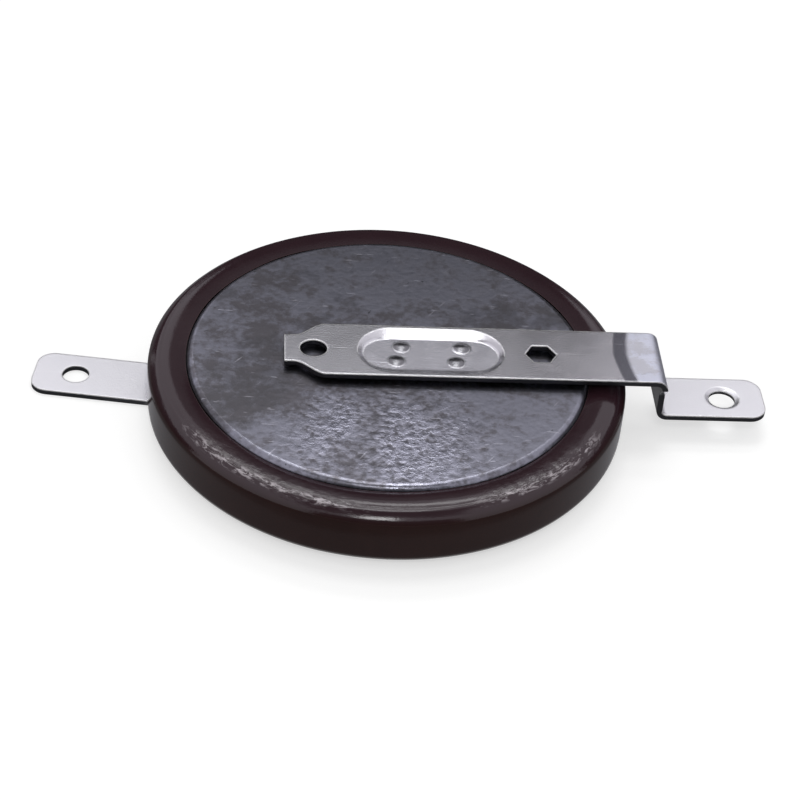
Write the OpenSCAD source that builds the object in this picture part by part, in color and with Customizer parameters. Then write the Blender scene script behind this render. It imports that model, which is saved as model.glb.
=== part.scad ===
// Lithium coin cell in a shrink sleeve, with a solder tab strip welded to each face.
// Origin: on the cell's axis, in the plane that the lower strip rests on. +X points to the negative tab.

/* [Can] */
// Diameter of the bare can
can_d = 24.5; // [16:0.5:30]
// Height of the bare cell, from the can's bottom to the cap's face
cell_h = 3; // [2.4:0.1:5]
// Sheet thickness of the can
can_wall = 0.25; // [0.2:0.05:0.35]
// Outside radius between the can's bottom and its wall
can_bottom_r = 0.4; // [0.4:0.1:0.8]
// Outside radius of the rim that is curled over the gasket
rim_r = 0.6; // [0.4:0.1:1]
// How far the curled rim reaches in from the outside of the can
rim_reach = 1.4; // [1.2:0.05:2]
// How far the curled rim stays below the cap's face
rim_drop = 0.27; // [0.15:0.01:0.4]

/* [Cap] */
// Sheet thickness of the cap
cap_wall = 0.25; // [0.2:0.05:0.3]
// Outside radius of the edge of the cap's face
cap_edge_r = 0.35; // [0.35:0.05:0.6]

/* [Gasket] */
// Width of the open groove between the cap and the curled rim
groove_w = 0.45; // [0.3:0.05:0.6]
// How far the gasket's top stays below the top of the rim
gasket_dip = 0.18; // [0.05:0.01:0.24]
// Thickness of the gasket between the curled rim and the cap's flange
gasket_lip = 0.4; // [0.3:0.05:0.5]
// Thickness of the gasket between the can's wall and the flange
gasket_side = 0.5; // [0.3:0.05:0.6]
// Thickness of the gasket's foot under the flange
gasket_foot = 0.2; // [0.1:0.05:0.3]

/* [Sleeve] */
// Thickness of the shrunk film
sleeve_wall = 0.15; // [0.08:0.01:0.2]
// Gap between the upper lip and the cap's wall
lip_gap = 0.03; // [0.02:0.01:0.2]
// How far the lower lip reaches in from the outside of the can
sleeve_lower_lip = 1.9; // [1:0.1:3]

/* [Strips] */
// Thickness of both strips
strip_t = 0.3; // [0.2:0.05:0.4]
// Width of both strips over the cell
strip_w = 4.2; // [4:0.1:6]
// Sideways offset of both strips from the cell's axis
strip_offset = -0.2; // [-1:0.1:1]
// How far the tip reaches past the cell's axis
tip_reach = 5.4; // [4.6:0.1:7]
// Width of the narrow tip
tip_w = 2.2; // [2:0.1:3]
// Straight length of the narrow tip
tip_flat = 0.5; // [0.3:0.1:1]
// Length over which the tip widens to the strip
tip_taper = 1.6; // [1:0.1:2.5]
// Diameter of the pilot hole in the tip
pilot_d = 1.4; // [0.8:0.1:1.6]
// Distance from the tip's end to the pilot hole
pilot_inset = 1.5; // [1.2:0.1:2]
// Width across the flats of the six-sided pilot hole
hex_w = 1.4; // [1:0.1:1.5]
// Distance from the pressed pad's end to the middle of the six-sided hole
hex_gap = 1.9; // [1.5:0.1:2.1]

/* [Pressed pad] */
// Length of the pressed pad at the strip's outer face
pad_len = 7.6; // [6:0.1:8]
// Width of the pressed pad at the strip's outer face
pad_w = 3.8; // [3:0.1:3.9]
// Depth of the pad, which holds the strip off the cell
pad_depth = 0.25; // [0.22:0.01:0.4]
// Width of the pad's sloping wall along its two sides
pad_slope = 0.6; // [0.3:0.02:0.7]
// Width of the steeper wall at the pad's two ends
pad_end_slope = 0.3; // [0.2:0.02:0.5]
// Distance from the cell's axis to the middle of the pad, towards the tab
pad_shift = 2.15; // [1.5:0.05:2.5]
// Diameter of each round boss raised on the pad's floor at a weld
weld_d = 0.9; // [0.6:0.05:1]
// Height of each weld boss
weld_h = 0.12; // [0.06:0.02:0.2]
// Distance between the two pairs of bosses
weld_pitch_x = 3.1; // [2:0.1:3.6]
// Distance between the bosses of a pair
weld_pitch_y = 1.2; // [1:0.1:1.3]
// Offset of the bosses from the middle of the pad, away from the tab
weld_shift = 0.1; // [0:0.1:0.5]
// Lean of each pair of bosses along the strip
weld_lean = 0.3; // [0:0.05:0.4]

/* [Solder tabs] */
// Width of both solder tabs
tab_w = 3.2; // [2.6:0.1:3.8]
// Corner radius at the end of both tabs
tab_corner_r = 0.9; // [0.3:0.1:1.2]
// Diameter of the hole in both tabs
tab_hole_d = 1.4; // [1:0.1:1.6]
// Distance from the tab's end to its hole
tab_hole_inset = 2.2; // [1.6:0.1:2.6]
// Diameter of the rounded-over mouth of the negative tab's hole
mouth_d = 1.86; // [1.7:0.02:2.2]
// Depth of that mouth
mouth_depth = 0.12; // [0.06:0.02:0.16]
// Length of the negative tab beyond its leg
neg_tab_len = 5.65; // [4.5:0.05:10]
// Drop from the top of the negative strip to the top of its tab
neg_drop = 2.55; // [2:0.05:2.7]
// Gap between the sleeve and the leg of the negative strip
leg_gap = 1.6; // [0.5:0.1:3]
// Outside radius of the negative strip's two bends
bend_r = 0.6; // [0.5:0.05:0.8]
// Height over which the leg narrows to the tab
neck_h = 0.6; // [0.3:0.1:0.8]
// Length of the positive tab beyond the sleeve
pos_tab_len = 6.2; // [4.5:0.1:10]
// Angle of the positive strip in plan, off the line of the negative one
pos_angle = 7.6; // [0:0.1:20]
// How far inside the sleeve's edge the positive strip has narrowed to its tab
pos_neck_inset = 1.4; // [0.5:0.1:3]

/* [Hidden] */
$fn = 96;

// Cutting tools run past the face that they open by this much, and plan pieces into their neighbour
over = 0.05;

// Heights, from the resting plane up
can_z = strip_t + pad_depth;
face_z = can_z + cell_h;
rim_z = face_z - rim_drop;
flange_z = rim_z - can_wall - gasket_lip;
hem_t = 2 * cap_wall;
foot_z = flange_z - hem_t - gasket_foot;
arm_z = face_z + pad_depth + strip_t;
neg_tab_z = arm_z - neg_drop;
neck_z = arm_z - bend_r;
mid_z = (can_z + rim_z) / 2;

// Radii and reaches, from the cell's axis out
can_r = can_d / 2;
rim_end_r = can_r - rim_reach;
cap_r = rim_end_r - groove_w;
stack_r = cap_r - cap_wall;
flange_r = can_r - can_wall - gasket_side;
sleeve_r = can_r + sleeve_wall;
leg_x = sleeve_r + leg_gap + strip_t;
bend_x = leg_x - bend_r;
foot_bend_x = leg_x - strip_t + bend_r;
neg_end_x = leg_x + neg_tab_len;
pos_end_x = sleeve_r + pos_tab_len;
hex_x = pad_shift + pad_len / 2 + hex_gap;
mouth_over_d = mouth_d + (mouth_d - tab_hole_d) * over / mouth_depth;
weld_sphere_r = (weld_d * weld_d / 4 + weld_h * weld_h) / (2 * weld_h);

// One side of a strip's edge where its width changes, level at both ends
function s_curve(x0, x1, y0, y1, steps = 10) =
    [for (i = [0:steps]) let (u = i / steps) [x0 + (x1 - x0) * u, y0 + (y1 - y0) * u * u * (3 - 2 * u)]];

// Half section of the can's outside, moved out by grow or in by a negative grow
module can_outline(grow = 0) {
    low = can_z - grow;
    high = rim_z + grow;
    square_at(0, low, can_r - rim_r, high);
    square_at(0, low, can_r - can_bottom_r, mid_z);
    square_at(0, can_z + can_bottom_r, can_r + grow, rim_z - rim_r);
    translate([can_r - can_bottom_r, can_z + can_bottom_r]) circle(can_bottom_r + grow);
    translate([can_r - rim_r, rim_z - rim_r]) circle(rim_r + grow);
}

// Rectangle between two corners
module square_at(x0, y0, x1, y1) {
    translate([x0, y0]) square([x1 - x0, y1 - y0]);
}

// Half section of a round post from z0 up to z1, with a rounded top edge
module post(r, z0, z1, edge_r) {
    square_at(0, z0, r - edge_r, z1);
    square_at(0, z0, r, z1 - edge_r);
    translate([r - edge_r, z1 - edge_r]) circle(edge_r);
}

// Half section of what the cap covers, out to the inside of its sheet
module stack_section(z0) {
    post(stack_r, z0, face_z - cap_wall, cap_edge_r - cap_wall);
}

module cap_section() {
    difference() {
        post(cap_r, flange_z - hem_t, face_z, cap_edge_r);
        stack_section(foot_z);
    }
    square_at(stack_r, flange_z - hem_t, flange_r - cap_wall, flange_z);
    translate([flange_r - cap_wall, flange_z - cap_wall]) circle(cap_wall);
}

// Half section of the space between the can's sheet and what the cap covers
module seal_space() {
    intersection() {
        can_outline(-can_wall);
        square_at(stack_r, foot_z, can_r, rim_z);
    }
}

module gasket_section() {
    difference() {
        union() {
            seal_space();
            square_at(stack_r, foot_z, rim_end_r, rim_z - gasket_dip);
        }
        cap_section();
    }
}

module can_section() {
    difference() {
        can_outline();
        seal_space();
        square_at(0, foot_z, rim_end_r, rim_z + over);
    }
    stack_section(foot_z - over);
}

module sleeve_section() {
    difference() {
        can_outline(sleeve_wall);
        can_outline();
        square_at(0, mid_z, cap_r + lip_gap, rim_z + sleeve_wall + over);
        square_at(0, can_z - sleeve_wall - over, can_r - sleeve_lower_lip, mid_z);
    }
}

// Drawn cup with its rim curled over the gasket, and all that is sealed inside it, as one solid
module cell_can() {
    color("silver") rotate_extrude() can_section();
}

// Pressed lid with a hemmed flange that the gasket grips
module negative_cap() {
    color("darkgray") rotate_extrude() cap_section();
}

// Moulded ring that wraps the cap's flange and is squeezed by the curled rim
module sealing_gasket() {
    color([0.16, 0.15, 0.17]) rotate_extrude() gasket_section();
}

// Film shrunk round the can, with a lip over the rim and one under the bottom
module shrink_sleeve() {
    color([0.20, 0.12, 0.12]) rotate_extrude() sleeve_section();
}

// Plan of a strip over the cell, from its tip to x1, with the tab towards +X
module strip_plan(x1) {
    widen_x = tip_flat - tip_reach;
    for (side = [0, 1]) mirror([0, side])
        polygon(concat(
            [[x1, 0], [-tip_reach, 0], [-tip_reach, tip_w / 2]],
            s_curve(widen_x, widen_x + tip_taper, tip_w / 2, strip_w / 2),
            [[x1, strip_w / 2]]));
}

// Plan of a solder tab from x0 to its end at x1, with rounded corners
module tab_plan(x0, x1) {
    square_at(x0, -tab_w / 2, x1 - tab_corner_r, tab_w / 2);
    square_at(x0, tab_corner_r - tab_w / 2, x1, tab_w / 2 - tab_corner_r);
    for (side = [-1, 1])
        translate([x1 - tab_corner_r, side * (tab_w / 2 - tab_corner_r)]) circle(tab_corner_r);
}

// Racetrack with a sloping wall, from z = over down to -pad_depth. Its width w is at z = 0
module racetrack(w, slope) {
    low_w = w - 2 * slope;
    high_w = w + 2 * slope * over / pad_depth;
    run = pad_len - w;
    for (end = [-1, 1])
        translate([end * run / 2, 0, -pad_depth])
            cylinder(h = pad_depth + over, r1 = low_w / 2, r2 = high_w / 2);
    rotate([90, 0, 90]) linear_extrude(height = run, center = true)
        polygon([[-low_w / 2, -pad_depth], [low_w / 2, -pad_depth], [high_w / 2, over], [-high_w / 2, over]]);
}

// The pad's form: gentle walls along its sides, and a form with steep walls, just inside them, for the ends
module pad_form() {
    translate([pad_shift, 0, 0]) {
        racetrack(pad_w, pad_slope);
        racetrack(pad_w - 2 * (pad_slope - pad_end_slope + over), pad_end_slope);
    }
}

// Round bosses on the pad's floor, as the tops of spheres that reach a little into the strip
module weld_bosses() {
    for (i = [-1, 1], j = [-1, 1])
        translate([pad_shift - weld_shift + i * weld_pitch_x / 2 + j * weld_lean / 2,
                   j * weld_pitch_y / 2,
                   -pad_depth])
            intersection() {
                translate([0, 0, weld_h - weld_sphere_r]) sphere(weld_sphere_r);
                translate([0, 0, -over]) cylinder(h = weld_h + 2 * over, d = weld_d);
            }
}

// Round pilot hole in the tip and six-sided pilot hole beyond the pad
module pilot_cuts() {
    deep = strip_t + 2 * over;
    translate([pilot_inset - tip_reach, 0, -strip_t - over]) cylinder(h = deep, d = pilot_d);
    translate([hex_x, 0, -strip_t - over]) linear_extrude(height = deep)
        circle(d = hex_w / cos(30), $fn = 6);
}

// Side view of the negative strip: arm, bend, leg, bend and tab
module neg_side() {
    square_at(-tip_reach, arm_z - strip_t, bend_x, arm_z);
    bend_corner(bend_x, arm_z - bend_r, 0);
    square_at(leg_x - strip_t, neg_tab_z - strip_t + bend_r, leg_x, arm_z - bend_r);
    bend_corner(foot_bend_x, neg_tab_z - strip_t + bend_r, 180);
    square_at(foot_bend_x, neg_tab_z - strip_t, neg_end_x, neg_tab_z);
}

// Quarter ring about (x, z) in the side view, turned to the quarter that it fills
module bend_corner(x, z, turn) {
    translate([x, z]) rotate(turn) intersection() {
        difference() {
            circle(bend_r);
            circle(bend_r - strip_t);
        }
        square(bend_r);
    }
}

// Front view of the leg, which narrows below the upper bend to the tab's width
module leg_front() {
    polygon([
        [-strip_w / 2, arm_z + over], [strip_w / 2, arm_z + over],
        [strip_w / 2, neck_z], [tab_w / 2, neck_z - neck_h],
        [tab_w / 2, neg_tab_z - strip_t - over], [-tab_w / 2, neg_tab_z - strip_t - over],
        [-tab_w / 2, neck_z - neck_h], [-strip_w / 2, neck_z]]);
}

// The folded strip with its pad and holes, before welding
module negative_blank() {
    low = neg_tab_z - strip_t - over;
    difference() {
        union() {
            intersection() {
                rotate([90, 0, 0]) linear_extrude(height = strip_w, center = true) neg_side();
                union() {
                    translate([0, 0, arm_z - strip_t - over])
                        linear_extrude(height = strip_t + 2 * over) strip_plan(bend_x + over);
                    translate([bend_x, 0, 0]) rotate([90, 0, 90])
                        linear_extrude(height = foot_bend_x - bend_x) leg_front();
                    translate([0, 0, low]) linear_extrude(height = strip_t + 2 * over)
                        tab_plan(foot_bend_x - over, neg_end_x);
                }
            }
            translate([0, 0, arm_z - strip_t]) pad_form();
        }
        translate([0, 0, arm_z]) {
            pad_form();
            pilot_cuts();
        }
        translate([neg_end_x - tab_hole_inset, 0, low]) cylinder(h = strip_t + 2 * over, d = tab_hole_d);
        translate([neg_end_x - tab_hole_inset, 0, neg_tab_z - mouth_depth])
            cylinder(h = mouth_depth + over, d1 = tab_hole_d, d2 = mouth_over_d);
    }
}

// Folded strip, welded by its pad to the cap, with its tab standing clear of the sleeve
module negative_strip() {
    color([0.72, 0.72, 0.74]) translate([0, strip_offset, 0]) {
        negative_blank();
        translate([0, 0, arm_z]) weld_bosses();
    }
}

// The flat strip with its pad and holes, before welding, with its outer face at z = 0
module positive_blank() {
    neck_x = sleeve_r - pos_neck_inset;
    difference() {
        union() {
            translate([0, 0, -strip_t]) linear_extrude(height = strip_t) {
                strip_plan(neck_x - tip_taper);
                for (side = [0, 1]) mirror([0, side])
                    polygon(concat(
                        [[neck_x, 0], [neck_x - tip_taper, 0]],
                        s_curve(neck_x - tip_taper, neck_x, strip_w / 2, tab_w / 2)));
                tab_plan(neck_x - over, pos_end_x);
            }
            translate([0, 0, -strip_t]) pad_form();
        }
        pad_form();
        pilot_cuts();
        translate([pos_end_x - tab_hole_inset, 0, -strip_t - over])
            cylinder(h = strip_t + 2 * over, d = tab_hole_d);
    }
}

// Flat strip, welded by its pad to the can's bottom, that the cell rests on
module positive_strip() {
    color([0.72, 0.72, 0.74])
    translate([0, strip_offset, 0]) rotate([0, 0, 180 - pos_angle]) mirror([0, 0, 1]) {
        positive_blank();
        weld_bosses();
    }
}

cell_can();
negative_cap();
sealing_gasket();
shrink_sleeve();
negative_strip();
positive_strip();
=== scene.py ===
# %% [markdown]
# # A lithium coin cell with solder tabs
#
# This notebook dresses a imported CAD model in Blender. The CAD part gives every solid its real size and
# place, and this script adds the looks: a film that shrank over the can, tarnished and polished metal,
# a pale table, lamps and a camera. One Blender unit is a metre, so a cell 25 mm across is only 0.025
# units wide. Sizes are easier to read in millimetres, so each one is written as a number times MM.

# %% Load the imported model
import math

import bpy
from mathutils import Matrix, Vector, noise


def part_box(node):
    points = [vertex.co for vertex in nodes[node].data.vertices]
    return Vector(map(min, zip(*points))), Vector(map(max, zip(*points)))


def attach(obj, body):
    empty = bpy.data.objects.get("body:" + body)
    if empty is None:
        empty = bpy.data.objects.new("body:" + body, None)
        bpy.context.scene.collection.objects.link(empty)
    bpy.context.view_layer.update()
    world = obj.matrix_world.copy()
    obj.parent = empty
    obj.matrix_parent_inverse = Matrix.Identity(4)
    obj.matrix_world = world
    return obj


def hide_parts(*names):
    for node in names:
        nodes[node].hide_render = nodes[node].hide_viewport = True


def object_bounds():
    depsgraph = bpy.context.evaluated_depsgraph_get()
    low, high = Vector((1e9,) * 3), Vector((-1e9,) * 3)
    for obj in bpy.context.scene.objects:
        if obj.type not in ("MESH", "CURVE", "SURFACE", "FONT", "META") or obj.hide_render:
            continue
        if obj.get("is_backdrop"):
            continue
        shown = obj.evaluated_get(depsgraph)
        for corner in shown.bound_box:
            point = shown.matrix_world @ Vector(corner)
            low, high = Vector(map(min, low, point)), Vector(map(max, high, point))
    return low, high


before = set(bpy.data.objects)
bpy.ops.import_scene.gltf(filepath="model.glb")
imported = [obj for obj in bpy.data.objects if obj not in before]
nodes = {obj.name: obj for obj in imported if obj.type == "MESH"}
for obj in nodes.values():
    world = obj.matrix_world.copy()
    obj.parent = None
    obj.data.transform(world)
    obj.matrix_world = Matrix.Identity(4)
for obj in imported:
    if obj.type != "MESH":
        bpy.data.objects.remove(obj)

MM = 0.001
cad_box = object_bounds()
print("pieces:", ", ".join(sorted(nodes)))

# %% [markdown]
# ## Measuring the frame
#
# The film has to follow the can's two rounded edges, so their radii are read back from the CAD film. All
# the points of a turned part that share a height form a ring, and the ring's smallest and largest
# distance from the axis tell where a flat face starts and stops. The can's curled rim is found in the same
# way, at the height of the film's underside. Measuring is better than copying numbers, because a change in
# the CAD part then carries through to the film by itself.

# %% Read the film's outline back from the CAD film
def ring_radii(node, height):
    """Smallest and largest distance from the axis of a node's points at one height."""
    level = [p.co for p in nodes[node].data.vertices if abs(p.co.z - height) < 0.002 * MM]
    radii = [math.hypot(p.x, p.y) for p in level]
    return min(radii), max(radii)


film_low, film_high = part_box("shrink_sleeve")
can_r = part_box("cell_can")[1].x
cap_top_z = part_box("negative_cap")[1].z
arm_top_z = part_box("negative_strip")[1].z

film_r = film_high.x
film_t = film_r - can_r
top_lip_r, top_flat_r = ring_radii("shrink_sleeve", film_high.z)
bottom_lip_r, bottom_flat_r = ring_radii("shrink_sleeve", film_low.z)
rim_inner_r = ring_radii("cell_can", film_high.z - film_t)[0]
shoulder_r = film_r - top_flat_r
foot_r = film_r - bottom_flat_r
print(f"film: {film_t / MM:.2f} mm thick, {2 * film_r / MM:.1f} mm across, "
      f"edges {shoulder_r / MM:.2f} and {foot_r / MM:.2f} mm, can's rim from {rim_inner_r / MM:.2f} mm")

# %% [markdown]
# ## The shrunk film
#
# On the real cell a short tube of film is slipped over the can and heated. It shrinks tight, wraps both
# edges and gathers into fine creases where it is pulled in over the rounded shoulder. The film could be
# made by shrinking cloth in a simulation, but a turned shape with the creases worked into its points is
# exact, quick and the same on each run. Creases go inward only, so the film never leaves the CAD film's
# outside, and they are shallower than the film is thick. The underside stays smooth, and it sags only
# where no rim is below it, so the film never meets the can.

# %% Section of the film, as points with their outward direction
def arc(centre_r, centre_z, radius, start, end, steps):
    """Points on a quarter circle from one angle to another, each with its outward direction."""
    points = []
    for i in range(steps + 1):
        angle = math.radians(start + (end - start) * i / steps)
        way = Vector((math.cos(angle), math.sin(angle)))
        points.append((Vector((centre_r, centre_z)) + radius * way, way))
    return points


def line(start, end, way, steps):
    """Points inside a straight stretch, without its two ends."""
    start, end = Vector(start), Vector(end)
    return [(start.lerp(end, i / steps), Vector(way)) for i in range(1, steps)]


LOWER_LIP_STEPS, FOOT_STEPS, WALL_STEPS, SHOULDER_STEPS, UPPER_LIP_STEPS = 4, 7, 6, 16, 10
wall_low_z = film_low.z + foot_r
wall_high_z = film_high.z - shoulder_r
outline = (
    [(Vector((bottom_lip_r, film_low.z)), Vector((0, -1)))]
    + line((bottom_lip_r, film_low.z), (bottom_flat_r, film_low.z), (0, -1), LOWER_LIP_STEPS)
    + arc(bottom_flat_r, wall_low_z, foot_r, -90, 0, FOOT_STEPS)
    + line((film_r, wall_low_z), (film_r, wall_high_z), (1, 0), WALL_STEPS)
    + arc(top_flat_r, wall_high_z, shoulder_r, 0, 90, SHOULDER_STEPS)
    + line((top_flat_r, film_high.z), (top_lip_r, film_high.z), (0, 1), UPPER_LIP_STEPS)
    + [(Vector((top_lip_r, film_high.z)), Vector((0, 1)))]
)
print("section:", len(outline), "points")

# %% [markdown]
# Five things make the film look shrunk. It sags a little where it bridges the groove round the cap, and
# more so in front than at the back. Its top is slightly crowned towards the shoulder. On the shoulder it
# lies flatter than a round edge, which leaves a soft ridge above and a crisp one below. The whole wall
# waves slowly, and in two places the shoulder has ripples and fine creases where the film was gathered.
# Perlin noise that is read on a circle closes on itself, so no seam shows.

# %% How far the film is drawn in at each place
SAG_DEPTH = 0.13 * MM
SAG_WIDTH = 0.90 * MM
SAG_AT_BACK = 0.25
CROWN_DEPTH = 0.045 * MM
CROWN_WIDTH = 0.45 * MM
SHOULDER_FLAT = 0.040 * MM
FLAT_FROM, FLAT_TO = 10, 80                 # degrees on the shoulder, 0 at the wall and 90 on top
CROWN_FROM, CROWN_FULL = 5, 95              # the same degrees, as for the next two
CREASES_FROM, CREASES_FULL = 35, 60
CREASES_OFF_LIP = 0.3 * MM
WAVE_DEPTH, WAVES_ROUND = 0.020 * MM, 14
RIPPLE_DEPTH, RIPPLES_ROUND = 0.016 * MM, 80
CREASE_DEPTH, CREASES_ROUND = 0.014 * MM, 200
LIP_WANDER, LIP_LUMPS_ROUND = 0.020 * MM, 24
GATHERED = ((-124, 30), (-50, 24))          # direction and half width of each stretch, in degrees
GATHERED_ELSEWHERE = 0.12
NOISE_GAIN = 0.9
SEED_STEP = 17.3                            # sets two seeds far apart, so that they look unrelated


def round_noise(turn, count, level, seed):
    """Noise from 0 to 1 that repeats after one turn, with about count lumps round the circle."""
    reach = count / (2 * math.pi)
    at = Vector((reach * math.cos(turn), reach * math.sin(turn), level + SEED_STEP * seed))
    return min(1.0, max(0.0, 0.5 + NOISE_GAIN * noise.noise(at)))


def smooth(low, high, value):
    """0 below low, 1 above high, and an even curve between them."""
    part = min(1.0, max(0.0, (value - low) / (high - low)))
    return part * part * (3 - 2 * part)


def gathered(turn):
    """1 in the middle of a gathered stretch of the shoulder, and little away from all of them."""
    share = GATHERED_ELSEWHERE
    for middle, half_width in GATHERED:
        away = abs((math.degrees(turn) - middle + 180) % 360 - 180)
        share = max(share, 1 - smooth(0.45 * half_width, half_width, away))
    return share


def sag_at(turn, radius, width):
    """How far the upper lip sags: most at its end, nothing beyond the width, and less at the back."""
    share = max(0.0, 1 - (radius - top_lip_r) / width) ** 2
    return SAG_DEPTH * share * (SAG_AT_BACK + (1 - SAG_AT_BACK) * smooth(-0.5, 0.5, -math.sin(turn)))


def on_top(way):
    """Whether a point lies on the flat top of the upper lip."""
    return way.y > 0.99


def drawn_in(turn, point, way):
    """How far the film is drawn in at one point of its section, at one angle round the cell."""
    height = point.y / MM
    along = height - point.x / MM
    tilt = math.degrees(math.atan2(way.y, way.x))
    flat = 0
    if FLAT_FROM < tilt < FLAT_TO:
        flat = math.sin(math.pi * (tilt - FLAT_FROM) / (FLAT_TO - FLAT_FROM)) ** 2
    if on_top(way):
        sag = sag_at(turn, point.x, SAG_WIDTH)
        crown = max(0.0, 1 - (top_flat_r - point.x) / CROWN_WIDTH) ** 2
    else:
        sag = 0
        crown = smooth(CROWN_FROM, CROWN_FULL, tilt)
    off_lip = smooth(top_lip_r + CREASES_OFF_LIP, top_flat_r - CREASES_OFF_LIP, point.x)
    on_shoulder = smooth(CREASES_FROM, CREASES_FULL, tilt) * off_lip
    wave = round_noise(turn, WAVES_ROUND, 0.35 * height, 2)
    ripple = round_noise(turn, RIPPLES_ROUND, 3.0 * along, 3)
    crease = round_noise(turn, CREASES_ROUND, 5.0 * along, 4)
    return (WAVE_DEPTH * wave + SHOULDER_FLAT * flat + CROWN_DEPTH * crown
            + sag * (0.8 + 0.2 * wave)
            + on_shoulder * gathered(turn) * (RIPPLE_DEPTH * ripple + CREASE_DEPTH * crease))


# %% Turn the section round the axis, outside first and then back along the can
FILM_STEPS = 1080
CLEAR_OF_CAN = 0.012 * MM
SHARP_FROM = math.radians(50)


def lip_share(point, way):
    """1 at the end of the upper lip, falling to 0 where the top starts to round over."""
    return (top_flat_r - point.x) / (top_flat_r - top_lip_r) if on_top(way) else 0


def film_ring(turn):
    """All points of the film at one angle: up the outside, over the lip and down the inside."""
    lip_shift = LIP_WANDER * (2 * round_noise(turn, LIP_LUMPS_ROUND, 0, 5) - 1)
    ring = []
    for point, way in outline:
        shift = Vector((lip_shift * lip_share(point, way), 0))
        ring.append(point - way * drawn_in(turn, point, way) + shift)
    for point, way in reversed(outline[::2]):
        sag = sag_at(turn, point.x, rim_inner_r - top_lip_r) if on_top(way) else 0
        shift = Vector((lip_shift * lip_share(point, way), 0))
        ring.append(point - way * (film_t - CLEAR_OF_CAN + sag) + shift)
    return [Vector((p.x * math.cos(turn), p.x * math.sin(turn), p.y)) for p in ring]


rings = [film_ring(2 * math.pi * i / FILM_STEPS) for i in range(FILM_STEPS)]
per_ring = len(rings[0])
points = [p for ring in rings for p in ring]
faces = []
for i in range(FILM_STEPS):
    here, there = i * per_ring, (i + 1) % FILM_STEPS * per_ring
    for j in range(per_ring):
        k = (j + 1) % per_ring
        faces.append((here + j, there + j, there + k, here + k))

film_mesh = bpy.data.meshes.new("shrunk_film")
film_mesh.from_pydata(points, [], faces)
film_mesh.validate()
film = bpy.data.objects.new("shrunk_film", film_mesh)
bpy.context.scene.collection.objects.link(film)
film_mesh.polygons.foreach_set("use_smooth", [True] * len(film_mesh.polygons))
film_mesh.set_sharp_from_angle(angle=SHARP_FROM)
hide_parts("shrink_sleeve")
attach(film, "root")
print("film:", len(points), "points,", 2 * len(faces), "triangles")

# %% [markdown]
# ## Small helpers for materials
#
# A node tree reads best when each line says what a node is and what feeds it. `put` adds a node and
# `fill` fills its sockets, each either with a value or with the output of another node.

# %% Helpers that add nodes
def fill(tree, node, inputs):
    """Fill sockets. inputs maps a socket's name or number to a value or to another node's output."""
    for key, value in inputs.items():
        if isinstance(value, bpy.types.NodeSocket):
            tree.links.new(value, node.inputs[key])
        else:
            node.inputs[key].default_value = value


def put(tree, kind, inputs=None, **settings):
    """Add a node with its settings and fill its sockets."""
    node = tree.nodes.new(kind)
    for key, value in settings.items():
        setattr(node, key, value)
    fill(tree, node, inputs or {})
    return node


def calc(tree, operation, first, second=0.0):
    """One sum on values, such as ADD or MULTIPLY."""
    return put(tree, "ShaderNodeMath", {0: first, 1: second}, operation=operation).outputs[0]


def times(tree, first, second):
    """The product of two values."""
    return calc(tree, "MULTIPLY", first, second)


def vector_calc(tree, operation, first, second=(0, 0, 0)):
    """One sum on places. Its output 0 is a place, and its output "Value" a distance or a product."""
    return put(tree, "ShaderNodeVectorMath", {0: first, 1: second}, operation=operation).outputs


def remap(tree, value, low, high, to_low=0.0, to_high=1.0):
    """Stretch the range from low to high of a value smoothly to a new range."""
    return put(tree, "ShaderNodeMapRange",
               {"Value": value, "From Min": low, "From Max": high, "To Min": to_low, "To Max": to_high},
               interpolation_type="SMOOTHSTEP").outputs["Result"]


def mix_colour(tree, mask, first, second):
    """Blend two colours by a mask."""
    return put(tree, "ShaderNodeMix", {0: mask, 6: first, 7: second}, data_type="RGBA").outputs[2]


def grey(level, blue=0.0):
    """A grey with a slight lean to blue."""
    return (level, level, level * (1 + blue), 1.0)


# %% [markdown]
# ## Effects that several materials share
#
# Mottling, scratches, small dents and worn edges turn up on more than one piece. Each is built once as a
# node group with named inputs and outputs, and every material sets its own values on it. A group gives
# out only masks, heights and normals; the shader itself stays in the material.

# %% A helper that starts a group
def start_group(name, inputs, outputs):
    """A node group with its sockets: inputs maps a name to a starting value, outputs names to a kind."""
    tree = bpy.data.node_groups.new(name, "ShaderNodeTree")
    for label, value in inputs.items():
        kind = "NodeSocketVector" if value is None else "NodeSocketFloat"
        socket = tree.interface.new_socket(label, in_out="INPUT", socket_type=kind)
        if value is not None:
            socket.default_value = value
    for label, kind in outputs.items():
        tree.interface.new_socket(label, in_out="OUTPUT", socket_type=kind)
    return tree, tree.nodes.new("NodeGroupInput").outputs, tree.nodes.new("NodeGroupOutput").inputs


def use_group(tree, group, inputs):
    """Place a group in a material and return its outputs."""
    return put(tree, "ShaderNodeGroup", inputs, node_tree=group).outputs


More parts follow.
